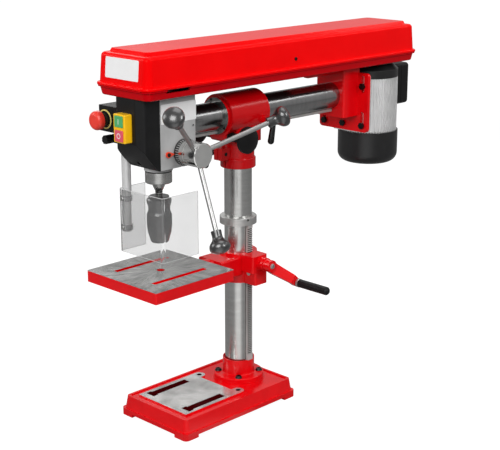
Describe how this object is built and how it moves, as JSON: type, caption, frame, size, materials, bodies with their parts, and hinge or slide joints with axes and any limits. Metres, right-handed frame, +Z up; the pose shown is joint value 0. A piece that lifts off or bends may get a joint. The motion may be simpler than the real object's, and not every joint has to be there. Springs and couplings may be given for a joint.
{
  "type": "radial bench drilling machine",
  "caption": "Bench drilling machine with a rack-fed head on a sliding, tilting ram, a belt case, a keyless chuck with guard, a cranked tilting table and a slotted base.",
  "frame": {"origin": "on the bench under the column, where the column's axis meets the plane of the base's feet", "axes": "+Z up along the column, +Y from the operator's side back towards the motor, +X to the operator's right, the side of the feed handles"},
  "size_m": [0.3778, 1.0528, 0.9343],
  "materials": {
    "red_paint": "gloss signal red enamel",
    "grey_paint": "light grey enamel on cast iron",
    "steel": "ground steel",
    "dark_steel": "oiled steel",
    "black_steel": "satin black enamel",
    "black_plastic": "fine grained black moulding",
    "aluminium": "bare die-cast aluminium",
    "clear_sheet": "clear bent polycarbonate sheet",
    "yellow_plastic": "yellow moulding",
    "green_plastic": "green moulding",
    "red_plastic": "red moulding",
    "orange_plastic": "orange moulding",
    "rubber": "black rubber"
  },
  "bodies": {
    "stand": {"base": "red_paint", "column_flange": "red_paint", "flange_bolts": "black_steel", "column": "steel", "rack_collar": "grey_paint"},
    "swing_rack": {"column_rack": "steel"},
    "table_carrier": {"table_bracket": "red_paint"},
    "lift_gear": {"lift_gear": "steel"},
    "crank": {"worm_shaft": "steel", "crank_arm": "red_paint"},
    "crank_grip": {"crank_grip": "black_plastic"},
    "table": {"table": "red_paint"},
    "table_lock": {"table_lock_lever": "black_steel"},
    "arm_support": {"head_support": "red_paint"},
    "column_lock": {"column_lock_lever": "black_steel"},
    "ram_lock": {"ram_lock_lever": "black_steel"},
    "ram_drive": {"ram_pinion": "steel", "ram_knobs": "black_plastic"},
    "ram_rack": {"ram_rack": "steel"},
    "ram": {"ram": "steel", "head_casting": "grey_paint", "front_cover": "black_plastic", "switch_body": "yellow_plastic", "guard_box": "black_plastic", "depth_pointer": "orange_plastic", "spring_cap": "black_steel", "return_spring": "dark_steel", "belt_tray": "red_paint", "drive_belt": "rubber", "motor_bracket": "red_paint", "bracket_bolts": "black_steel", "motor_body": "aluminium", "motor_bell": "black_steel", "fan_cover": "black_steel", "stator": "dark_steel", "terminal_box": "black_plastic"},
    "lid": {"belt_lid": "red_paint"},
    "motor_rotor": {"rotor": "dark_steel", "motor_pulley": "aluminium"},
    "pulley": {"spindle_pulley": "aluminium"},
    "quill": {"quill": "steel", "bumper_ring": "rubber", "quill_bearings": "steel"},
    "feed": {"feed_shaft": "steel", "feed_hub": "steel", "depth_ring": "black_plastic", "feed_rods": "steel", "feed_knobs": "black_plastic"},
    "spindle": {"spindle": "steel", "chuck_body": "dark_steel"},
    "chuck_sleeve": {"chuck_sleeve": "dark_steel"},
    "jaw_1": {"chuck_jaw_1": "dark_steel"},
    "jaw_2": {"chuck_jaw_2": "dark_steel"},
    "jaw_3": {"chuck_jaw_3": "dark_steel"},
    "guard_rod": {"guard_rod": "steel"},
    "guard": {"guard": "clear_sheet"},
    "guard_knob": {"guard_knob": "black_plastic"},
    "estop": {"estop_button": "red_plastic"},
    "start": {"start_button": "green_plastic"},
    "stop": {"stop_button": "red_plastic"}
  },
  "joints": [
    {"name": "table_swing", "type": "hinge", "parent": "stand", "child": "swing_rack", "pos_m": [0, 0, 0.365], "axis": [0, 0, 1], "range_deg": [-180, 180]},
    {"name": "table_lift", "type": "slide", "parent": "swing_rack", "child": "table_carrier", "axis": [0, 0, 1], "range_m": [-0.19, 0.04]},
    {"name": "lift_gear_spin", "type": "hinge", "parent": "table_carrier", "child": "lift_gear", "pos_m": [0.05846, 0, 0.349], "axis": [0, 1, 0], "range_deg": [-145, 682]},
    {"name": "crank_turn", "type": "hinge", "parent": "table_carrier", "child": "crank", "pos_m": [0, 0, 0.3756], "axis": [1, 0, 0], "range_deg": [-13700, 2900]},
    {"name": "crank_grip_spin", "type": "hinge", "parent": "crank", "child": "crank_grip", "pos_m": [0, 0.06217, 0.32525], "axis": [1, 0, 0], "continuous": true},
    {"name": "table_tilt", "type": "hinge", "parent": "table_carrier", "child": "table", "pos_m": [0, -0.264, 0.365], "axis": [0, 1, 0], "range_deg": [-25, 25]},
    {"name": "table_lock_turn", "type": "hinge", "parent": "table_carrier", "child": "table_lock", "pos_m": [-0.06, 0, 0.358], "axis": [0, 1, 0], "range_deg": [-40, 40]},
    {"name": "support_swivel", "type": "hinge", "parent": "stand", "child": "arm_support", "pos_m": [0, 0, 0.65], "axis": [0, 0, 1], "range_deg": [-120, 120]},
    {"name": "column_lock_turn", "type": "hinge", "parent": "arm_support", "child": "column_lock", "pos_m": [0, -0.0555, 0.653], "axis": [1, 0, 0], "range_deg": [-30, 30]},
    {"name": "ram_lock_turn", "type": "hinge", "parent": "arm_support", "child": "ram_lock", "pos_m": [0.06, 0.042, 0.731], "axis": [1, 0, 0], "range_deg": [0, 60]},
    {"name": "ram_slide", "type": "slide", "parent": "arm_support", "child": "ram_rack", "axis": [0, 1, 0], "range_m": [-0.285, 0.1]},
    {"name": "ram_pinion_turn", "type": "hinge", "parent": "arm_support", "child": "ram_drive", "pos_m": [0, -0.055, 0.69894], "axis": [1, 0, 0], "range_deg": [-600, 1705]},
    {"name": "ram_tilt", "type": "hinge", "parent": "ram_rack", "child": "ram", "pos_m": [0, 0, 0.75], "axis": [0, 1, 0], "range_deg": [-45, 45]},
    {"name": "lid_open", "type": "hinge", "parent": "ram", "child": "lid", "pos_m": [-0.10049, 0.115, 0.85015], "axis": [0, -1, 0], "range_deg": [0, 100]},
    {"name": "motor_spin", "type": "hinge", "parent": "ram", "child": "motor_rotor", "pos_m": [0, 0.513, 0.7], "axis": [0, 0, 1], "continuous": true},
    {"name": "pulley_spin", "type": "hinge", "parent": "ram", "child": "pulley", "pos_m": [0, -0.264, 0.87], "axis": [0, 0, 1], "continuous": true},
    {"name": "quill_feed", "type": "slide", "parent": "ram", "child": "quill", "axis": [0, 0, 1], "range_m": [-0.06, 0], "stiffness_N_per_m": 400, "springref_m": 0.15},
    {"name": "feed_turn", "type": "hinge", "parent": "ram", "child": "feed", "pos_m": [0, -0.228, 0.692], "axis": [1, 0, 0], "range_deg": [0, 287]},
    {"name": "spindle_spin", "type": "hinge", "parent": "quill", "child": "spindle", "pos_m": [0, -0.264, 0.64], "axis": [0, 0, 1], "continuous": true},
    {"name": "chuck_sleeve_turn", "type": "hinge", "parent": "spindle", "child": "chuck_sleeve", "pos_m": [0, -0.264, 0.52], "axis": [0, 0, 1], "range_deg": [0, 3600]},
    {"name": "jaw_1_slide", "type": "slide", "parent": "spindle", "child": "jaw_1", "axis": [-0.2588, 0, -0.9659], "range_m": [0, 0.0251]},
    {"name": "jaw_2_slide", "type": "slide", "parent": "spindle", "child": "jaw_2", "axis": [0.1294, -0.2241, -0.9659], "range_m": [0, 0.0251]},
    {"name": "jaw_3_slide", "type": "slide", "parent": "spindle", "child": "jaw_3", "axis": [0.1294, 0.2241, -0.9659], "range_m": [0, 0.0251]},
    {"name": "guard_swing", "type": "hinge", "parent": "ram", "child": "guard_rod", "pos_m": [-0.0635, -0.309, 0.6], "axis": [0, 0, 1], "range_deg": [-40, 0]},
    {"name": "guard_slide", "type": "slide", "parent": "guard_rod", "child": "guard", "axis": [0, 0, 1], "range_m": [0, 0.05]},
    {"name": "guard_knob_turn", "type": "hinge", "parent": "ram", "child": "guard_knob", "pos_m": [-0.092, -0.309, 0.717], "axis": [0, 1, 0], "range_deg": [-90, 90]},
    {"name": "estop_press", "type": "slide", "parent": "ram", "child": "estop", "axis": [0, 1, 0], "range_m": [0, 0.005], "stiffness_N_per_m": 1500, "springref_m": -0.002},
    {"name": "start_press", "type": "slide", "parent": "ram", "child": "start", "axis": [0, 1, 0], "range_m": [0, 0.004], "stiffness_N_per_m": 800, "springref_m": -0.002},
    {"name": "stop_press", "type": "slide", "parent": "ram", "child": "stop", "axis": [0, 1, 0], "range_m": [0, 0.004], "stiffness_N_per_m": 800, "springref_m": -0.002}
  ],
  "couplings": [
    {"joint": "lift_gear_spin", "follows": "table_lift", "rad_per_m": -62.5},
    {"joint": "crank_turn", "follows": "table_lift", "rad_per_m": 1250},
    {"joint": "ram_pinion_turn", "follows": "ram_slide", "rad_per_m": -104.17},
    {"joint": "pulley_spin", "follows": "motor_spin", "ratio": 1},
    {"joint": "spindle_spin", "follows": "motor_spin", "ratio": 1},
    {"joint": "feed_turn", "follows": "quill_feed", "rad_per_m": -83.333},
    {"joint": "jaw_1_slide", "follows": "chuck_sleeve_turn", "m_per_rad": 0.00039789},
    {"joint": "jaw_2_slide", "follows": "chuck_sleeve_turn", "m_per_rad": 0.00039789},
    {"joint": "jaw_3_slide", "follows": "chuck_sleeve_turn", "m_per_rad": 0.00039789}
  ]
}
